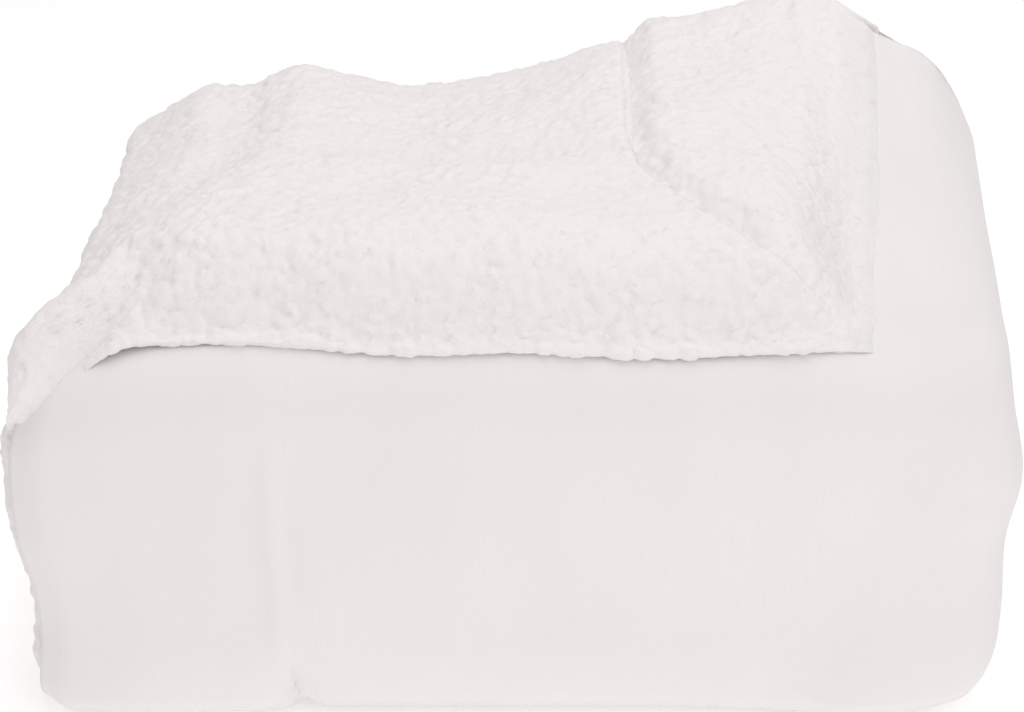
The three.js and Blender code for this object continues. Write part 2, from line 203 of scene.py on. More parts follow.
def leg_point(leg, along):
    if not leg["turn"]:
        heading = np.full_like(along, leg["heading"])
        return leg["y"] + along * np.cos(heading), leg["z"] + along * np.sin(heading), heading
    side = math.copysign(1.0, leg["turn"])
    heading = leg["heading"] + side * along / leg["radius"]
    y = leg["y"] + side * leg["radius"] * (np.sin(heading) - math.sin(leg["heading"]))
    z = leg["z"] - side * leg["radius"] * (np.cos(heading) - math.cos(leg["heading"]))
    return y, z, heading


def place_legs():
    placed = []
    at = {"s": 0.0, "y": LAYER + INNER_END_CLEARANCE, "z": 3 * LAYER_PITCH + LAYER / 2, "heading": 0.0}
    for name, run, turn, radius in LEGS:
        leg = dict(at, name=name, turn=turn, radius=radius)
        leg["length"] = math.radians(abs(turn)) * radius if turn else run
        y, z, heading = leg_point(leg, np.array(leg["length"]))
        at = {"s": leg["s"] + leg["length"], "y": float(y), "z": float(z), "heading": float(heading)}
        placed.append(leg)
    return placed


PATH = place_legs()
START = {leg["name"]: leg["s"] for leg in PATH}
ROLL_START = START["fold 5 to 6"]
FLAP_START = START["flap"]
OVERHANG_START = START["overhang"]
TAIL_START = FLAP_START + REAR_FOLD_Y - TAIL_START_Y
LOWER_PLIES_END = OVERHANG_START - LOWER_PLIES_SETBACK
NARROWING = (ROLL_START - 4, ROLL_START + 27)


def path_point(s):
    y = np.zeros_like(s)
    z = np.zeros_like(s)
    heading = np.zeros_like(s)
    ends = [leg["s"] for leg in PATH[1:]] + [math.inf]
    for i, leg in enumerate(PATH):
        inside = (s < ends[i]) & ((s >= leg["s"]) if i else True)
        y[inside], z[inside], heading[inside] = leg_point(leg, s[inside] - leg["s"])
    return y, z, heading


def flap_edge_x(y):
    return lerp(FLAP_EDGE_FRONT_X, FLAP_EDGE_REAR_X, smooth(0, REAR_FOLD_Y, y))


def flap_fold_x(y):
    return flap_edge_x(y) - FLAP_FOLD_SETBACK - SIDE_FOLD_REACH


def sherpa_edge_x(s, y):
    return lerp(SHERPA_HEM_X, flap_edge_x(y), smooth(*NARROWING, s))


def right_fold_x(s, y):
    return lerp(HALF_WIDTH - SIDE_FOLD_REACH, flap_fold_x(y), smooth(*NARROWING, s))


def hem_end(x):
    return OVERHANG_START + np.radians(curve(HEM_LINE, x)) * OVERHANG_RADIUS


def line_distance(x, y, line):
    """Signed distance to a line of points, positive on its left, how far along it that is, and its length."""
    best = np.full(x.shape, 1e9)
    along = np.zeros(x.shape)
    sign = np.ones(x.shape)
    total = 0.0
    points = np.array(line, float)
    for a, b in zip(points[:-1], points[1:]):
        way = b - a
        length = math.hypot(way[0], way[1])
        t = np.clip(((x - a[0]) * way[0] + (y - a[1]) * way[1]) / length ** 2, 0, 1)
        off_x = x - a[0] - t * way[0]
        off_y = y - a[1] - t * way[1]
        distance = np.hypot(off_x, off_y)
        closer = distance < best
        best = np.where(closer, distance, best)
        sign = np.where(closer, np.sign(way[0] * off_y - way[1] * off_x), sign)
        along = np.where(closer, total + t * length, along)
        total += length
    return best * sign, along, total


def ridge(x, y, line, width, fade):
    """A soft ridge of height 1 along a line, dying out at its two ends."""
    distance, along, total = line_distance(x, y, line)
    return np.exp(-(distance / width) ** 2) * smooth(0, fade, along) * smooth(total, total - fade, along)


def tuck_lift(x, s, y):
    """Along the tuck the far side comes steeply down to the near side, whose edge stands up a little."""
    distance, along, total = line_distance(x, y, TUCK_LINE)
    away = -distance
    at_back = smooth(total - TUCK_BACK_RUN[0], total - TUCK_BACK_RUN[1], along)
    lip = TUCK_LIP * np.exp(-(distance / TUCK_LIP_WIDTH) ** 2)
    rise = lerp(*TUCK_RISE, at_back) * smooth(*TUCK_RISE_RUN, away)
    fall = lerp(*TUCK_FALL, at_back) * smooth(*TUCK_FALL_RUN, away)
    far = -TUCK_DROP + rise - fall
    height = lerp(lip, far, smooth(*TUCK_STEP, away)) * smooth(*TUCK_START_RUN, along)
    height = height * smooth(total - TUCK_END_RUN[0], total - TUCK_END_RUN[1], along)
    start = FLAP_START - TUCK_ROLL_RUN
    return np.where(s > start, height * smooth(start, FLAP_START, s), 0.0)


def sink(part, x, s, y):
    front = smooth(0, FRONT_SLOPE[1], s - LOWER_PLIES_END - FRONT_SLOPE[0])
    if part in ("middle", "left fold"):
        return SINK_SHARE * PLY_PITCH * front
    if part != "sherpa":
        return np.zeros_like(x + s)
    side = (smooth(0, SIDE_SLOPE[1], x - right_fold_x(s, y) - SIDE_SLOPE[0])
            * smooth(*NARROWING, s))
    depth = SINK_SHARE * PLY_PITCH * (1 + smooth(LEFT_ROLL_X, LEFT_ROLL_X + LEFT_ROLL_BLEND, x))
    return depth * (1 - (1 - front) * (1 - side))


def press(part, x, s, y, n):
    """The flap thins towards its side hem and its front hem, and at the left it ends against the stack."""
    roll = smooth(*NARROWING, s)
    to_hem = hem_end(x) - s
    to_side = flap_edge_x(y) - x
    side = (lerp(1.0, RIGHT_THICKNESS, smooth(*RIGHT_THINNING_X, x) * roll)
            * lerp(1.0, SIDE_HEM_THICKNESS, smooth(*SIDE_HEM_THINNING, to_side) * roll))
    thinning_length = lerp(HEM_THINNING, EAR_THINNING, smooth(*EAR_THINNING_X, x))
    thinner = side * lerp(1.0, curve(HEM_THICKNESS, x), smooth(thinning_length, HEM_THINNING_END, to_hem))
    flannel_edge = FLANNEL_EDGE_SINK * smooth(*FLANNEL_EDGE_X, x) ** 2
    at_ear = smooth(*EAR_X, x) * smooth(*EAR_LENGTH, to_hem)
    at_side = smooth(*SIDE_HEM_SINK_RUN, to_side) * roll
    on_roll = smooth(FLAP_START + ROLL_CORE_RUN[0], FLAP_START + ROLL_CORE_RUN[1], s)
    under = lerp(PLY_PITCH + FACE + STACK_CLEARANCE, LAYER_FOLD_RADIUS - ROLL_CORE, on_roll)
    under = under + SIDE_HEM_SINK * at_side * (1 - on_roll)
    under = under + at_ear * (EAR_SINK + flannel_edge + EAR_TIP_SINK * smooth(*EAR_TIP_X, x))
    lift = tuck_lift(x, s, y) * side if part == "sherpa" else 0.0
    edge = flannel_edge * (1 - roll) if part == "smooth" else 0.0
    return under - (under - n) * thinner - lift - edge


# Heights of the slow waves
TOP_WAVE = 1.6
TOP_RIPPLE = 1.0
FRONT_WAVE = 0.9
# Where the waves of the top and of the front grow to their full height
TOP_WAVES_Z = (120, 200)
FRONT_WAVES_Y = (46, 4)
FRONT_WAVES_Z = (-12, 16)
# Ridges, and hollows where the height is negative: height, line, width, and fade at each end.
# Those of the top have lines of x and y, those of the front have lines of x and z.
TOP_RIDGES = (
    (3.4, ((-104, 128), (-60, 118), (0, 106), (46, 98)), 13, 40),
    (-3.0, ((-100, 152), (-60, 143), (0, 132), (44, 122)), 12, 40),
    (2.1, ((-172, 58), (-140, 86), (-112, 137), (-84, 188)), 15, 36),
    (-1.6, ((-182, 96), (-152, 120), (-128, 168)), 16, 36),
    (-2.2, ((96, 92), (112, 128), (118, 170)), 14, 40),
    (1.8, ((74, 116), (88, 160), (92, 200)), 16, 40),
)
FOOT_CREASE = (2.4, ((-89, -30), (-91, 6), (-95, 28), (-98, 50)), 1.7, 16)
FOOT_CREASE_FADE_Z = (52, 10)
FRONT_RIDGES = (
    (-1.6, ((-86, -30), (-90, 8), (-93, 30), (-95, 46)), 6.0, 24),
    (1.5, ((-99, 20), (-101, 70), (-102, 150)), 5, 40),
    (-1.3, ((-92, 50), (-94, 80), (-96, 112)), 6, 24),
    (-1.1, ((-106, 30), (-108, 100), (-106, 148)), 9, 40),
    (1.2, ((172, 20), (186, 80), (182, 150)), 16, 40),
    (-1.3, ((176, 109), (196, 107), (214, 104)), 3.0, 16),
    (-1.0, ((-60, 52), (20, 60), (110, 50)), 24, 50),
)
# The crease's foot is drawn up a little: height, x and width
FOOT_LIFT = (5.5, -90, 4.5)
FOOT_LIFT_Z = (22, 2)
FOOT_LIFT_Y = (40, 8)


def waves(x, y, z):
    """Soft unevenness of the top and of the front, as forward and upward moves."""
    top = smooth(*TOP_WAVES_Z, z)
    up = TOP_WAVE * np.sin(x / 31 + y / 47 + 0.6) * np.sin(y / 38 - x / 90)
    up += TOP_RIPPLE * np.sin(x / 17 - y / 29 + 1.9) * np.sin(y / 23 + 0.4)
    for height, line, width, fade in TOP_RIDGES:
        up += height * ridge(x, y, line, width, fade)
    face = smooth(*FRONT_WAVES_Y, y) * smooth(*FRONT_WAVES_Z, z)
    lift, lift_x, lift_width = FOOT_LIFT
    up_foot = lift * np.exp(-((x - lift_x) / lift_width) ** 2)
    up_foot = up_foot * smooth(*FOOT_LIFT_Z, z) * smooth(*FOOT_LIFT_Y, y)
    out = FRONT_WAVE * np.sin(x / 44 + z / 61 + 1.0) * np.sin(z / 37 - x / 120 + 0.5)
    depth, line, width, fade = FOOT_CREASE
    out -= depth * ridge(x, z, line, width, fade) * smooth(*FOOT_CREASE_FADE_Z, z)
    for height, line, width, fade in FRONT_RIDGES:
        out += height * ridge(x, z, line, width, fade)
    return out * face, up * top + up_foot


# The top rises slowly at first from the front's height to the back's
RISE_DELAY = 0.2
# The right part of the rear droops: how steeply, past what share of the way back, and over what band of x
DROOP = 4.2
DROOP_START = 0.97
DROOP_X = (144, 160)
# How much narrower the left side gets towards the back, and high up behind the ear
REAR_NARROWING = 11.8
REAR_NARROWING_Y = (0, REAR_CREST_Y - 40)
EAR_NARROWING = 19.5
EAR_NARROWING_Y = (9, 42)
EAR_NARROWING_Z = (140, 175)
# How far the ends of the front are rounded backward, and those of the rear forward
FRONT_ROUND_RIGHT = 15.0
FRONT_ROUND_LEFT = 7.0
REAR_ROUND = 20
# The foot bulges forward: how far, at what height, over what height. Then the height over which the front's
# swell dies out, and where the bulge and the swell start and are complete.
FOOT_BULGE = (6, 8, 11)
SWELL_HEIGHT = 45
FORWARD_Y = (60, 0)


def settle(x, y, z):
    """Moves a point of the evenly folded stack to where the real, slumped one has it."""
    back = np.maximum(0.0, (y - FRONT_CREST_Y) / (REAR_CREST_Y - FRONT_CREST_Y))
    back = (1 + RISE_DELAY) * back ** 2 / (back + RISE_DELAY)
    back = back - DROOP * np.maximum(0.0, back - DROOP_START) * smooth(*DROOP_X, x)
    crest = lerp(curve(FRONT_CREST, x), curve(REAR_CREST, x), back)
    reach = np.abs(x) / HALF_WIDTH
    narrowing = (REAR_NARROWING * smooth(*REAR_NARROWING_Y, y)
                 + EAR_NARROWING * smooth(*EAR_NARROWING_Y, y) * smooth(*EAR_NARROWING_Z, z))
    side = np.where(x > 0, curve(RIGHT_SIDE, z) - HALF_WIDTH, curve(LEFT_SIDE, z) + HALF_WIDTH + narrowing)
    front = np.where(x > 0, FRONT_ROUND_RIGHT, FRONT_ROUND_LEFT) * reach ** 6 * smooth(DEPTH / 2, 0, y)
    rear = REAR_ROUND * reach ** 4 * smooth(DEPTH / 2, DEPTH, y)
    bulge, bulge_z, bulge_height = FOOT_BULGE
    foot = bulge * np.exp(-(((z - bulge_z) / bulge_height) ** 2))
    swell = curve(FRONT_SWELL, x) * np.exp(-((z / SWELL_HEIGHT) ** 2))
    out, up = waves(x, y, z)
    forward = (foot + swell) * smooth(*FORWARD_Y, y) + out
    return np.stack([x + side * reach ** 2, y + front - rear - forward, z * crest / FLAT_TOP + up], axis=-1)


def ply_x(part, f, s, y):
    """Where a column lies across: f runs from 0 to 1 up to PACE_X, and on to 2 at the ply's right end."""
    first = FLANNEL_HEM_X if part == "smooth" else LEFT_FOLD_X
    last = sherpa_edge_x(s, y) if part == "sherpa" else right_fold_x(s, y)
    return np.where(f < 1, lerp(first, PACE_X, f), lerp(PACE_X, last, f - 1))


def cloth(part, f, s, offset):
    """A point of the cloth in metres. offset is from the ply's middle, positive to its smooth face."""
    f, s, offset = np.broadcast_arrays(*(np.asarray(v, float) for v in (f, s, offset)))
    y, z, heading = path_point(np.ascontiguousarray(s))
    depth = np.clip(y, 0, REAR_FOLD_Y)
    if part == "right fold":
        a = math.pi * (0.5 - f)
        fold = right_fold_x(s, depth)
        x, n = fold + SIDE_FOLD_RADIUS * np.cos(a), SIDE_FOLD_RADIUS * (1 + np.sin(a))
        nx, nn = np.cos(a), np.sin(a)
    elif part == "left fold":
        a = math.pi * (0.5 + f)
        x, n = LEFT_FOLD_X + SIDE_FOLD_RADIUS * np.cos(a), SIDE_FOLD_RADIUS * (np.sin(a) - 1)
        nx, nn = -np.cos(a), -np.sin(a)
    else:
        x = ply_x(part, f, s, depth)
        n = np.full_like(x, {"smooth": PLY_PITCH, "middle": 0.0, "sherpa": -PLY_PITCH}[part])
        nx, nn = np.zeros_like(x), np.full_like(x, -1.0 if part == "middle" else 1.0)
    x = x + offset * nx
    n = press(part, x, s, depth, n + offset * nn + sink(part, x, s, depth))
    return (settle(x, y - n * np.sin(heading), z + n * np.cos(heading)) + SHIFT) * MM


def end_of(part, f):
    """Where the cloth ends along the strip, by column."""
    f = np.asarray(f, float)
    roll_end = hem_end(np.array(LEFT_FOLD_X))
    if part in ("smooth", "right fold"):
        return np.full_like(f, LOWER_PLIES_END)
    if part == "left fold":
        return np.full_like(f, float(roll_end))
    x = ply_x(part, f, np.full_like(f, OVERHANG_START), np.zeros_like(f))
    if part == "middle":
        return lerp(LOWER_PLIES_END, roll_end, smooth(LEFT_ROLL_X, LEFT_FOLD_X, x))
    return hem_end(x)


# Meshes
def steps(start, end, spacing):
    """Even steps from start to end, without the first."""
    count = max(1, int(math.ceil(abs(end - start) / spacing)))
    return list(np.linspace(start, end, count + 1)[1:])


def make_object(name, points, quads, uv=None, attributes=()):
    mesh = bpy.data.meshes.new(name)
    points = np.ascontiguousarray(points, np.float32).reshape(-1, 3)
    quads = np.ascontiguousarray(quads, np.int32)
    corners = quads.shape[1]
    mesh.vertices.add(len(points))
    mesh.vertices.foreach_set("co", points.ravel())
    mesh.loops.add(quads.size)
    mesh.loops.foreach_set("vertex_index", quads.ravel())
    mesh.polygons.add(len(quads))
    mesh.polygons.foreach_set("loop_start", np.arange(0, quads.size, corners, dtype=np.int32))
    mesh.polygons.foreach_set("loop_total", np.full(len(quads), corners, np.int32))
    mesh.polygons.foreach_set("use_smooth", np.ones(len(quads), bool))
    if uv is not None:
        layer = mesh.uv_layers.new(name="cloth")
        uv = np.ascontiguousarray(uv, np.float32).reshape(-1, 2)
        layer.data.foreach_set("uv", uv[quads.ravel()].ravel())
    for key, values in attributes:
        attribute = mesh.attributes.new(key, "FLOAT", "POINT")
        attribute.data.foreach_set("value", np.ascontiguousarray(values, np.float32).ravel())
    mesh.update(calc_edges=True)
    mesh.validate()
    piece = bpy.data.objects.new(name, mesh)
    bpy.context.scene.collection.objects.link(piece)
    return piece


def grid_quads(rows, cols, start=0, flip=False):
    r, c = np.meshgrid(np.arange(rows - 1), np.arange(cols - 1), indexing="ij")
    a = start + r * cols + c
    quads = np.stack([a, a + 1, a + cols + 1, a + cols], axis=-1).reshape(-1, 4)
    return quads[:, ::-1] if flip else quads


def border_quads(rows, cols):
    """Quads that join the edges of two grids, the second after the first."""
    second = rows * cols
    first = list(range(cols))
    right = [r * cols + cols - 1 for r in range(1, rows)]
    last = [(rows - 1) * cols + c for c in range(cols - 2, -1, -1)]
    left = [r * cols for r in range(rows - 2, 0, -1)]
    a = np.array(first + right + last + left)
    b = np.roll(a, -1)
    return np.stack([b, a, a + second, b + second], axis=-1)


def section_grid(columns, rows, offset):
    """Points for every row and column, which end short of the hems where the pile turns under."""
    blocks = []
    rows = np.asarray(rows, float)[:, None]
    for part, f in columns:
        f = np.asarray(f, float)[None, :]
        ends = end_of(part, f)
        if part in ("sherpa", "left fold"):
            x = ply_x("sherpa", f, FLAP_START, 0.0) if part == "sherpa" else SLAB_SETBACK[0][0]
            ends = ends - curve(SLAB_SETBACK, x)
        s = np.where(rows > TAIL_ROWS, lerp(TAIL_START, ends, rows - TAIL_ROWS), rows)
        blocks.append(cloth(part, f, s, offset))
    return np.concatenate(blocks, axis=1)


def lengths(points):
    """How far along the cloth each row and column is, in metres, by the middle column and row."""
    across = np.linalg.norm(np.diff(points[points.shape[0] // 2], axis=0), axis=1)
    along = np.linalg.norm(np.diff(points[:, points.shape[1] // 2], axis=0), axis=1)
    return np.concatenate([[0], np.cumsum(across)]), np.concatenate([[0], np.cumsum(along)])


def sheet_piece(name, inner, outer, columns, rows):
    """A closed sheet between two offsets from the middle of the cloth."""
    outside = section_grid(columns, rows, outer)
    inside = section_grid(columns, rows, inner)
    size = outside.shape[:2]
    second = size[0] * size[1]
    quads = np.concatenate([grid_quads(*size), grid_quads(*size, second, flip=True), border_quads(*size)])
    u, v = lengths(outside)
    uv = np.stack(np.meshgrid(u, v), axis=-1).reshape(-1, 2)
    return make_object(name, np.concatenate([outside.reshape(-1, 3), inside.reshape(-1, 3)]), quads,
                       np.concatenate([uv, uv]))


def strip_rows(fine, coarse, tail):
    """Rows down the strip, closer together on the seen legs, and closest where the flap narrows."""
    rows = [0.0]
    seen = ("bottom corner", "front", "top corner", "fold 4 to 3", "fold 2 to 1")
    for leg in PATH:
        end = leg["s"] + leg["length"]
        if leg["name"] == "fold 5 to 6":
            rows += steps(leg["s"], NARROWING[1], fine / 3) + steps(NARROWING[1], end, fine)
        elif leg["name"] == "flap":
            rows += steps(leg["s"], TAIL_START, coarse)
        elif leg["name"] != "overhang":
            rows += steps(leg["s"], end, fine if leg["name"] in seen else coarse)
    return rows + [TAIL_ROWS + share for share in steps(0, 1, tail)]


# The stretch past PACE_X is spaced as if it were this wide
LAST_STRETCH = 50


def ply_columns(first, spacing, fine=(), last=1.0):
    """Values of f across a ply, about that many millimetres apart, and closer in the fine bands of x."""
    xs = [first]
    for low, high, close in fine:
        xs += steps(xs[-1], low, spacing) + steps(low, high, close)
    xs += steps(xs[-1], PACE_X, spacing)
    paced = [(x - first) / (PACE_X - first) for x in xs]
    return paced + [1 + share for share in steps(0, last, spacing / LAST_STRETCH)]


def fold_columns(count):
    return [(i + 1) / (count + 1) for i in range(count)]


# The closed sheets end inside the pile that turns round the hems: as a share of the last stretch across,
# and by x, how far short of the front hem
SLAB_END = 0.6
SLAB_SETBACK = ((-213, 34), (-160, 30), (-130, 14), (213, 14))
# Bands of x with closer columns, for the left rim and for the crease: from, to, spacing
FINE_BANDS = ((-205, -190, 1.8), (-106, -84, 1.1))
# The sherpa's closed sheet lies this far inside the face that its pile stands round, and off the flannel
SHERPA_INSET = 3.0
PANEL_GAP = 0.05

FLANNEL_COLUMNS = (
    ("smooth", ply_columns(FLANNEL_HEM_X, 5.0, FINE_BANDS)),
    ("right fold", fold_columns(9)),
    ("middle", ply_columns(LEFT_FOLD_X, 18)[::-1]),
    ("left fold", fold_columns(6)),
    ("sherpa", ply_columns(LEFT_FOLD_X, 18, last=SLAB_END)),
)
SHERPA_COLUMNS = (
    ("smooth", ply_columns(FLANNEL_HEM_X, 18)),
    ("right fold", fold_columns(6)),
    ("middle", ply_columns(LEFT_FOLD_X, 14)[::-1]),
    ("left fold", fold_columns(9)),
    ("sherpa", ply_columns(LEFT_FOLD_X, 9, last=SLAB_END)),
)

flannel = sheet_piece("flannel", FACE - FLANNEL_THICKNESS, FACE, FLANNEL_COLUMNS, strip_rows(4.2, 10, 0.045))
sherpa = sheet_piece("sherpa", SHERPA_INSET - FACE, FACE - FLANNEL_THICKNESS - PANEL_GAP, SHERPA_COLUMNS,
                     strip_rows(7, 12, 0.06))


# Sherpa pile

# Large primes that scatter neighbouring cells of space over a table
CELL_PRIMES = (73856093, 19349663, 83492791)


def cell_values(cells, table):
    """Rows of the table picked for whole-numbered cells of space."""
    x, y, z = (cells[..., axis] * CELL_PRIMES[axis] for axis in range(3))
    return table[(x ^ y ^ z) & (len(table) - 1)]


# In cells: the span that a tuft's middle strays over, its least radius, and what is added to that at random.
# Then how sharply tufts stand apart, the least share of that and the share added at random, the least rise
# that counts, and how many rows of random numbers there are.
TUFT_STRAY = 0.84
TUFT_RADIUS = 0.62
TUFT_SPREAD = 0.4
TUFT_EDGE = 8.0
TUFT_EDGES = (0.55, 0.45)
TUFT_FLOOR = -0.6
TABLE_ROWS = 4096


def tufts(points, size, seed):
    """Soft rounded tufts of a size in millimetres, as a height of about 0 to 1 at each point."""
    table = np.random.default_rng(seed).uniform(0, 1, (TABLE_ROWS, 5)).astype(np.float32)
    place = (points / size).astype(np.float32)
    base = np.floor(place).astype(np.int64)
    total = np.full(points.shape[:-1], 1e-3, np.float32)
    for step in np.ndindex(3, 3, 3):
        cells = base + (np.array(step) - 1)
        values = cell_values(cells, table)
        middle = cells + 0.5 + TUFT_STRAY * (values[..., :3] - 0.5)
        radius = TUFT_RADIUS + TUFT_SPREAD * values[..., 3]
        rise = 1 - np.sum((place - middle) ** 2, axis=-1) / radius ** 2
        edge = TUFT_EDGE * (TUFT_EDGES[0] + TUFT_EDGES[1] * values[..., 4])
        total += np.exp(edge * np.maximum(rise, TUFT_FLOOR))
    return np.log(total) / TUFT_EDGE


def soft_noise(points, size, seed):
    """Smooth noise in space, from -1 to 1."""
    table = np.random.default_rng(seed).uniform(-1, 1, (TABLE_ROWS, 1))
    place = points / size
    base = np.floor(place).astype(np.int64)
    t = place - base
    t = t * t * (3 - 2 * t)
    total = np.zeros(points.shape[:-1])
    for corner in np.ndindex(2, 2, 2):
        weight = np.prod(np.where(np.array(corner) == 1, t, 1 - t), axis=-1)
        total += weight * cell_values(base + np.array(corner), table)[..., 0]
    return total


# In millimetres: the radius of a hem's turn, how far the pile goes back under it and in what steps, how far
# through the cloth the turn goes, where the pile stands on the cloth, and how high it is
HEM_ROUND = 5.2
HEM_BACK = 12.0
HEM_BACK_SPACING = 3.0
HEM_THROUGH = 2 * FACE - 2.6
PILE_BASE = 1.7 - FACE
PILE_HEIGHT = 2.3
# Sizes of the tufts, of the pits between some of them and of the noises, in millimetres
TUFT = 5.0
SMALL_TUFT = 0.46 * TUFT
PIT = 8.5
WIDE_BEND = 4.3
CLOSE_BEND = 1.9
WIDE_LOFT = 21
CLOSE_LOFT = 9
ROLLING_SIZE = 12
# How far the tufts are bent, in millimetres, and the close noise's share of that
BEND = 1.1
CLOSE_SHARE = 0.4
# What each part adds, as a share of the pile's height
LOFT_SHARE = 0.25
BIG_SHARE = 0.78
SMALL_SHARE = 0.26
ROLLING_SHARE = 0.22
PIT_DEPTH = 1.6
PIT_START = 0.78
# The tail's length along the strip, by which its rows are spaced
TAIL_LENGTH = 118.0


def pile_columns(spacing, under):
    """Columns from under the left folds, round them, and over the sherpa ply to its side hem."""
    middle = [f for f in ply_columns(LEFT_FOLD_X, spacing) if f < under][::-1]
    round_fold = fold_columns(int(math.pi * SIDE_FOLD_REACH / spacing))
    over = ply_columns(LEFT_FOLD_X, spacing)
    return ([("middle", f, 0.0) for f in middle] + [("left fold", f, 0.0) for f in round_fold]
            + [("sherpa", f, 0.0) for f in over] + [("sherpa", 2.0, turn) for turn in hem_turns(spacing)])


def hem_turns(spacing):
    """Steps round a hem and back under it, as turns in radians."""
    back = steps(math.pi, math.pi + HEM_BACK / HEM_ROUND, HEM_BACK_SPACING / HEM_ROUND)
    return steps(0, math.pi, spacing / HEM_ROUND) + back


def turned(turn):
    """How far past the start of its turn a hem reaches."""
    return np.sin(np.minimum(turn, math.pi)) - np.maximum(turn - math.pi, 0)


def pile_grid(columns, rows):
    """The sherpa's face under its curls, turned under at the hems.

    A row is how far along the strip it lies and its turn round the front hem. A column is its ply, where it
    lies across that, and its turn round the side hem.
    """
    row_s = np.array([row[0] for row in rows])[:, None]
    row_turn = np.array([row[1] for row in rows])[:, None]
    blocks = []
    for part in ("middle", "left fold", "sherpa"):
        f = np.array([column[1] for column in columns if column[0] == part])[None, :]
        turn = np.array([column[2] for column in columns if column[0] == part])[None, :]
        ends = end_of(part, f) - HEM_ROUND
        s = np.where(row_s > TAIL_ROWS, lerp(TAIL_START, ends, row_s - TAIL_ROWS), row_s)
        s = s + HEM_ROUND * turned(row_turn)
        kept = (1 + np.cos(np.minimum(row_turn, math.pi))) / 2 * (1 + np.cos(np.minimum(turn, math.pi))) / 2
        if part == "sherpa":
            y = np.clip(path_point(s)[0], 0, REAR_FOLD_Y)
            side = HEM_ROUND / (sherpa_edge_x(s, y) - PACE_X)
            f = f + side * (turned(turn) - np.clip(f - 1, 0, 1))
        blocks.append(cloth(part, f, s, PILE_BASE + (1 - kept) * HEM_THROUGH))
    return np.concatenate(blocks, axis=1)


def normals_of(points):
    """Unit normals of a grid of points."""
    normal = np.cross(np.gradient(points, axis=0), np.gradient(points, axis=1))
    return normal / np.maximum(np.linalg.norm(normal, axis=-1, keepdims=True), 1e-12)


def curled(points, fade):
    """The same face with a coat of tufts, and how high each point of it stands in its tuft.

    The whole numbers from 40 up are seeds.
    """
    u, v = lengths(points)
    u, v = np.meshgrid(u, v)
    normal = normals_of(points)
    place = points / MM
    wide = np.stack([soft_noise(place, WIDE_BEND, 40 + axis) for axis in range(3)], axis=-1)
    close = np.stack([soft_noise(place, CLOSE_BEND, 50 + axis) for axis in range(3)], axis=-1)
    bent = place + BEND * (wide + CLOSE_SHARE * close)
    big = tufts(bent, TUFT, 61)
    small = tufts(bent, SMALL_TUFT, 62)
    loft = 1 + LOFT_SHARE * soft_noise(place, WIDE_LOFT, 63)
    loft = loft + LOFT_SHARE * soft_noise(place, CLOSE_LOFT, 64)
    pits = PIT_DEPTH * np.maximum(0, tufts(bent, PIT, 66) - PIT_START)
    coat = loft * (BIG_SHARE * big + SMALL_SHARE * small)
    coat = coat + ROLLING_SHARE * soft_noise(place, ROLLING_SIZE, 65) - pits
    lift = np.maximum(PILE_HEIGHT * fade * coat, 0.0)
    return points + MM * normal * lift[..., None], np.stack([u, v], axis=-1), np.clip(big, 0, 1)


def pile_pieces(names, points, breaks, fade):
    """One coat of tufts, cut between rows into pieces that share the row they meet at."""
    moved, uv, loft = curled(points, fade)
    normal = normals_of(moved)
    ends = [0] + list(breaks) + [len(points) - 1]
    pieces = []
    for name, first, last in zip(names, ends[:-1], ends[1:]):
        rows = slice(first, last + 1)
        quads = grid_quads(last + 1 - first, points.shape[1], flip=True)
        # How high each point stands in its tuft goes to the shader, which paints shade at the tufts' feet
        # with it
        piece = make_object(name, moved[rows], quads, uv[rows], (("loft", loft[rows]),))
        piece.data.normals_split_custom_set_from_vertices(normal[rows].reshape(-1, 3))
        pieces.append(piece)
    return pieces


# Spacings of the pile's rows and columns, in millimetres
ROLL_SPACING = 1.3
FLAP_SPACING = 1.25
TAIL_SPACING = 1.12
FLAP_COLUMN_SPACING = 1.14
LEFT_SPACING = 1.5
# Where the pile starts before the roll, and where the roll's piece ends
ROLL_PILE_START = ROLL_START - 30
ROLL_PILE_END = ROLL_START + 26
# How much shorter the pile gets near the right hem and at the ear, and where
RIGHT_SHORTER = 0.9
RIGHT_SHORTER_X = (120, 153)
EAR_SHORTER = 0.85
EAR_SHORTER_X = (-165, -186)
EAR_SHORTER_SHARE = (0.72, 0.96)
EAR_TIP_LONGER = 0.6
EAR_TIP_LONGER_X = (-194, -206)
# As shares of the way from the left fold to PACE_X: how far the flap's pile goes on under it, and how far the
# left folds' pile goes under and over
FLAP_UNDER = 0.04
LEFT_UNDER = 0.075
LEFT_OVER = 0.07
# Where the left folds' pile starts and ends along the strip
LEFT_PILE_START = 2.0
LEFT_PILE_END = ROLL_START + 5
# The turns round a hem between which the pile dies out
HEM_FADE = (0.5 * math.pi, 0.9 * math.pi)


def flap_pile_fade(points, rows, columns):
    """The share of its height that the flap's pile keeps at each point."""
    x = points[..., 0] / MM - SHIFT[0]
    row_turn = np.array([row[1] for row in rows])[:, None]
    column_turn = np.array([column[2] for column in columns])
    row_share = np.array([max(row[0] - TAIL_ROWS, 0.0) for row in rows])[:, None]
    at_ear = smooth(*EAR_SHORTER_X, x) * smooth(*EAR_SHORTER_SHARE, row_share)
    fade = 1 - RIGHT_SHORTER * smooth(*RIGHT_SHORTER_X, x)
    fade = fade * (1 - EAR_SHORTER * at_ear * (1 - EAR_TIP_LONGER * smooth(*EAR_TIP_LONGER_X, x)))
    for turn in (row_turn, column_turn):
        fade = fade * (1 - smooth(*HEM_FADE, turn))
    return fade


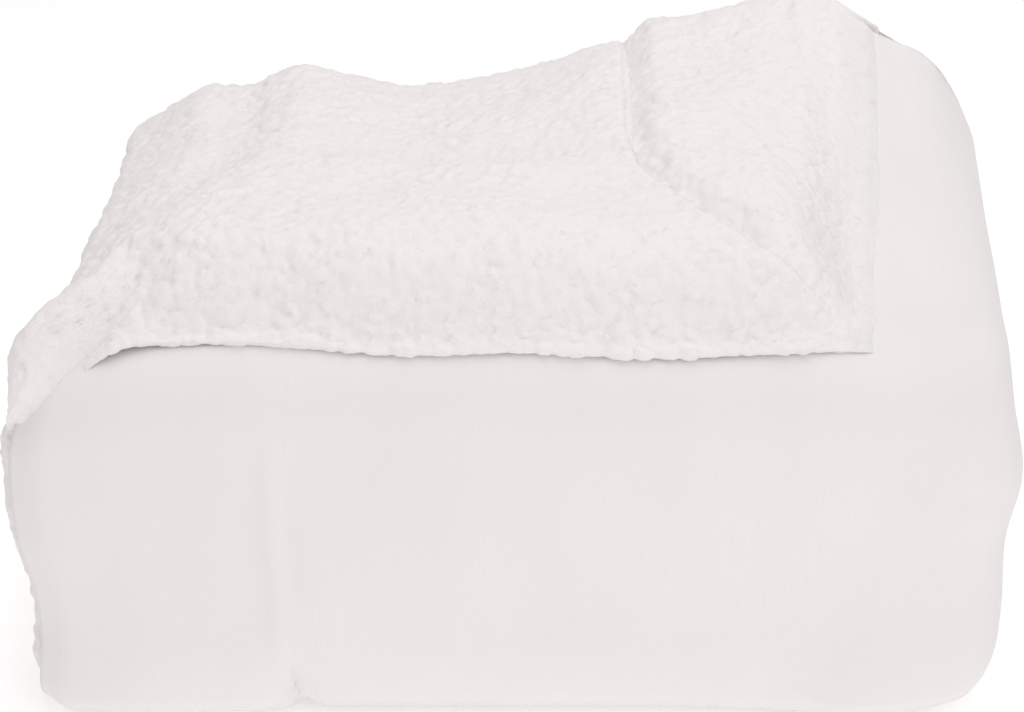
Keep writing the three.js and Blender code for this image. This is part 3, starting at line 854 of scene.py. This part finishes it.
flap_rows = [(s, 0.0) for s in [ROLL_PILE_START] + steps(ROLL_PILE_START, ROLL_PILE_END, ROLL_SPACING)]
roll_break = len(flap_rows) - 1
flap_rows += [(s, 0.0) for s in steps(ROLL_PILE_END, TAIL_START, FLAP_SPACING)]
flap_rows += [(TAIL_ROWS + share, 0.0) for share in steps(0, 1, TAIL_SPACING / TAIL_LENGTH)]
flap_rows += [(TAIL_ROWS + 1, turn) for turn in hem_turns(TAIL_SPACING)]
flap_columns = pile_columns(FLAP_COLUMN_SPACING, FLAP_UNDER)
flap_points = pile_grid(flap_columns, flap_rows)
flap_fade = flap_pile_fade(flap_points, flap_rows, flap_columns)
PILES = pile_pieces(("sherpa_pile_roll", "sherpa_pile_flap"), flap_points, (roll_break,), flap_fade)

left_columns = [column for column in pile_columns(LEFT_SPACING, LEFT_UNDER)
                if column[0] != "sherpa" or column[1] < LEFT_OVER]
left_rows = [(s, 0.0) for s in [LEFT_PILE_START] + steps(LEFT_PILE_START, LEFT_PILE_END, LEFT_SPACING)]
PILES += pile_pieces(("sherpa_pile_left",), pile_grid(left_columns, left_rows), (), 1.0)


# Materials

# Colours of the pile at a tuft's foot (painted shade), at its top and in the gaps between curls (painted
# shade), and the nap's two
PILE_FOOT_SHADE = (0.842, 0.796, 0.789)
PILE_HIGH = (0.864, 0.82, 0.814)
PILE_GAP_SHADE = (0.79, 0.74, 0.732)
NAP_LOW = (0.812, 0.776, 0.773)
NAP_HIGH = (0.832, 0.796, 0.793)
# How deep the fine relief of both is, in metres
RELIEF = 0.0006
# Few octaves, because they cost render time
NOISE_DETAIL = 1.0
# Scales of the patterns: the bend of the curls, with how far it goes in metres, the curls, where their gaps
# are painted with shade, the fibres and the strands
CURL_BEND_SCALE = 330
CURL_BEND = 0.004
CURL_SCALE = 175
SPARSE_SCALE = 170
FIBRE_SCALE = 1900
STRAND_SCALE = 700
# The flannel's, across and along the cloth
BRUSHED_SCALE = (620, 55, 1)
NAP_SCALE = (1500, 900, 1)
PATCH_SCALE = (22, 9, 1)


def new_material(name, color, roughness):
    material = bpy.data.materials.new(name)
    material.use_nodes = True
    nodes, links = material.node_tree.nodes, material.node_tree.links
    shader = nodes["Principled BSDF"]
    shader.inputs["Base Color"].default_value = (*color, 1)
    shader.inputs["Roughness"].default_value = roughness
    return material, nodes, links, shader


def noise(nodes, links, coordinates, scale, roughness):
    node = nodes.new("ShaderNodeTexNoise")
    node.inputs["Scale"].default_value = scale
    node.inputs["Detail"].default_value = NOISE_DETAIL
    node.inputs["Roughness"].default_value = roughness
    links.new(coordinates, node.inputs["Vector"])
    return node.outputs["Fac"]


def mapped(nodes, links, coordinates, scale):
    node = nodes.new("ShaderNodeMapping")
    node.inputs["Scale"].default_value = scale
    links.new(coordinates, node.inputs["Vector"])
    return node.outputs["Vector"]


def mixed(nodes, links, factor, low, high):
    """Between two colours, each of them a socket or plain numbers."""
    mix = nodes.new("ShaderNodeMix")
    mix.data_type = "RGBA"
    for socket, color in (("A", low), ("B", high)):
        if isinstance(color, tuple):
            mix.inputs[socket].default_value = (*color, 1)
        else:
            links.new(color, mix.inputs[socket])
    links.new(factor, mix.inputs["Factor"])
    return mix.outputs["Result"]


def ranged(nodes, links, value, start, end, low=0.0, high=1.0):
    node = nodes.new("ShaderNodeMapRange")
    for socket, number in (("From Min", start), ("From Max", end), ("To Min", low), ("To Max", high)):
        node.inputs[socket].default_value = number
    links.new(value, node.inputs["Value"])
    return node.outputs["Result"]


def math_node(nodes, links, operation, *values):
    node = nodes.new("ShaderNodeMath")
    node.operation = operation
    for socket, value in zip(node.inputs, values):
        if isinstance(value, (int, float)):
            socket.default_value = value
        else:
            links.new(value, socket)
    return node.outputs["Value"]


def roughen(nodes, links, shader, height, strength):
    """Gives the shader the fine relief of a height."""
    bump = nodes.new("ShaderNodeBump")
    bump.inputs["Strength"].default_value = strength
    bump.inputs["Distance"].default_value = RELIEF
    links.new(height, bump.inputs["Height"])
    links.new(bump.outputs["Normal"], shader.inputs["Normal"])


def curl_gap_shade(nodes, links, place):
    """Painted shade in short gaps between curls, here and there."""
    bend = nodes.new("ShaderNodeTexNoise")
    bend.inputs["Scale"].default_value = CURL_BEND_SCALE
    links.new(place, bend.inputs["Vector"])
    bent = nodes.new("ShaderNodeVectorMath")
    bent.operation = "MULTIPLY_ADD"
    links.new(bend.outputs["Color"], bent.inputs[0])
    bent.inputs[1].default_value = (CURL_BEND, CURL_BEND, CURL_BEND)
    links.new(place, bent.inputs[2])
    cells = nodes.new("ShaderNodeTexVoronoi")
    cells.feature = "DISTANCE_TO_EDGE"
    cells.inputs["Scale"].default_value = CURL_SCALE
    links.new(bent.outputs["Vector"], cells.inputs["Vector"])
    gaps = ranged(nodes, links, cells.outputs["Distance"], 0.02, 0.15, 1.0, 0.0)
    sparse = ranged(nodes, links, noise(nodes, links, place, SPARSE_SCALE, 0.5), 0.61, 0.74)
    return math_node(nodes, links, "MULTIPLY", gaps, sparse)


def sherpa_material():
    material, nodes, links, shader = new_material("sherpa_fleece", (0.965, 0.95, 0.945), 1.0)
    shader.inputs["Sheen Weight"].default_value = 0.15
    shader.inputs["Sheen Roughness"].default_value = 0.6
    shader.inputs["Subsurface Weight"].default_value = 0.3
    shader.inputs["Subsurface Radius"].default_value = (1.0, 0.95, 0.92)
    shader.inputs["Subsurface Scale"].default_value = 0.0015
    shader.inputs["Specular IOR Level"].default_value = 0.1
    place = nodes.new("ShaderNodeTexCoord").outputs["Object"]
    fibres = noise(nodes, links, place, FIBRE_SCALE, 0.6)
    strands = noise(nodes, links, place, STRAND_SCALE, 0.6)
    gap_shade = curl_gap_shade(nodes, links, place)
    # Painted shade: the pile is darker towards the foot of each tuft, where its crevices lie
    loft = nodes.new("ShaderNodeAttribute")
    loft.attribute_name = "loft"
    color = mixed(nodes, links, ranged(nodes, links, loft.outputs["Fac"], 0.0, 0.5), PILE_FOOT_SHADE, PILE_HIGH)
    # Painted shade in the gaps between curls, here and there
    color = mixed(nodes, links, gap_shade, color, PILE_GAP_SHADE)
    links.new(color, shader.inputs["Base Color"])
    roughen(nodes, links, shader, math_node(nodes, links, "ADD", fibres, strands), 0.45)
    return material


def flannel_material():
    material, nodes, links, shader = new_material("flannel_nap", (0.9, 0.882, 0.878), 0.95)
    shader.inputs["Sheen Weight"].default_value = 0.25
    shader.inputs["Sheen Roughness"].default_value = 0.4
    shader.inputs["Specular IOR Level"].default_value = 0.15
    place = nodes.new("ShaderNodeTexCoord").outputs["UV"]
    lines = noise(nodes, links, mapped(nodes, links, place, BRUSHED_SCALE), 1.0, 0.6)
    nap = noise(nodes, links, mapped(nodes, links, place, NAP_SCALE), 1.0, 0.5)
    patches = noise(nodes, links, mapped(nodes, links, place, PATCH_SCALE), 1.0, 0.5)
    brushed = math_node(nodes, links, "MULTIPLY", lines, ranged(nodes, links, patches, 0.42, 0.66))
    height = math_node(nodes, links, "MULTIPLY_ADD", nap, 0.35, brushed)
    roughen(nodes, links, shader, height, 0.35)
    color = mixed(nodes, links, ranged(nodes, links, patches, 0.3, 0.7), NAP_LOW, NAP_HIGH)
    links.new(color, shader.inputs["Base Color"])
    return material


SHERPA = sherpa_material()
FLANNEL = flannel_material()
flannel.data.materials.append(FLANNEL)
for piece in [sherpa] + PILES:
    piece.data.materials.append(SHERPA)

# What each piece is
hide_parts("flannel_panel")
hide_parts("sherpa_panel")
for piece in [flannel, sherpa] + PILES:
    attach(piece, "root")

# Floor, light and camera
FLOOR_HALF = 6.0
FLOOR_GLOW = 0.28
WORLD_LIGHT = 0.55
floor = make_object("floor", [(-FLOOR_HALF, -FLOOR_HALF, 0), (FLOOR_HALF, -FLOOR_HALF, 0),
                              (FLOOR_HALF, FLOOR_HALF, 0), (-FLOOR_HALF, FLOOR_HALF, 0)], [[0, 1, 2, 3]])
floor_material, _, _, floor_shader = new_material("pale_floor", (0.97, 0.97, 0.97), 0.9)
floor_shader.inputs["Specular IOR Level"].default_value = 0.0
floor_shader.inputs["Emission Color"].default_value = (1, 1, 1, 1)
floor_shader.inputs["Emission Strength"].default_value = FLOOR_GLOW
floor.data.materials.append(floor_material)

world = bpy.data.worlds.new("studio")
bpy.context.scene.world = world
world.use_nodes = True
world.node_tree.nodes["Background"].inputs["Color"].default_value = (1, 0.995, 0.99, 1)
world.node_tree.nodes["Background"].inputs["Strength"].default_value = WORLD_LIGHT


def area_light(name, place, target, size, power):
    data = bpy.data.lights.new(name, "AREA")
    data.shape = "RECTANGLE"
    data.size, data.size_y = size
    data.energy = power
    light = bpy.data.objects.new(name, data)
    light.location = place
    direction = np.array(target) - np.array(place)
    flat = math.hypot(direction[0], direction[1])
    tilt = math.atan2(flat, -direction[2])
    light.rotation_euler = (tilt, 0, math.atan2(direction[1], direction[0]) - math.pi / 2)
    bpy.context.scene.collection.objects.link(light)


# Name, place, what it points at, and width and height, in metres, and power in watts
LIGHTS = (
    ("top", (0.0, 0.0, 1.25), (0.0, 0.0, 0.1), (1.0, 0.9), 5.3),
    ("right", (1.0, -0.7, 1.3), (0.0, 0.0, 0.1), (0.9, 0.9), 2.0),
    ("front", (0.2, -2.2, 1.6), (0.0, 0.0, 0.1), (1.4, 1.0), 3.2),
    ("low", (0.4, -1.6, 0.5), (0.0, 0.0, 0.15), (0.8, 0.5), 2.2),
)
for light_row in LIGHTS:
    area_light(*light_row)

# The camera was fitted to the photo's outline. Its tilt is from straight down.
CAMERA_PLACE = (0, -1.9466, 0.9232)
CAMERA_TILT = math.radians(67.51)
CAMERA_LENS = 170.2
camera_data = bpy.data.cameras.new("camera")
camera_data.sensor_width = 36
camera_data.lens = CAMERA_LENS
camera_data.clip_end = 20
camera = bpy.data.objects.new("camera", camera_data)
camera.location = CAMERA_PLACE
camera.rotation_euler = (CAMERA_TILT, 0, 0)
bpy.context.scene.collection.objects.link(camera)
bpy.context.scene.camera = camera
bpy.context.scene.view_settings.view_transform = "Standard"
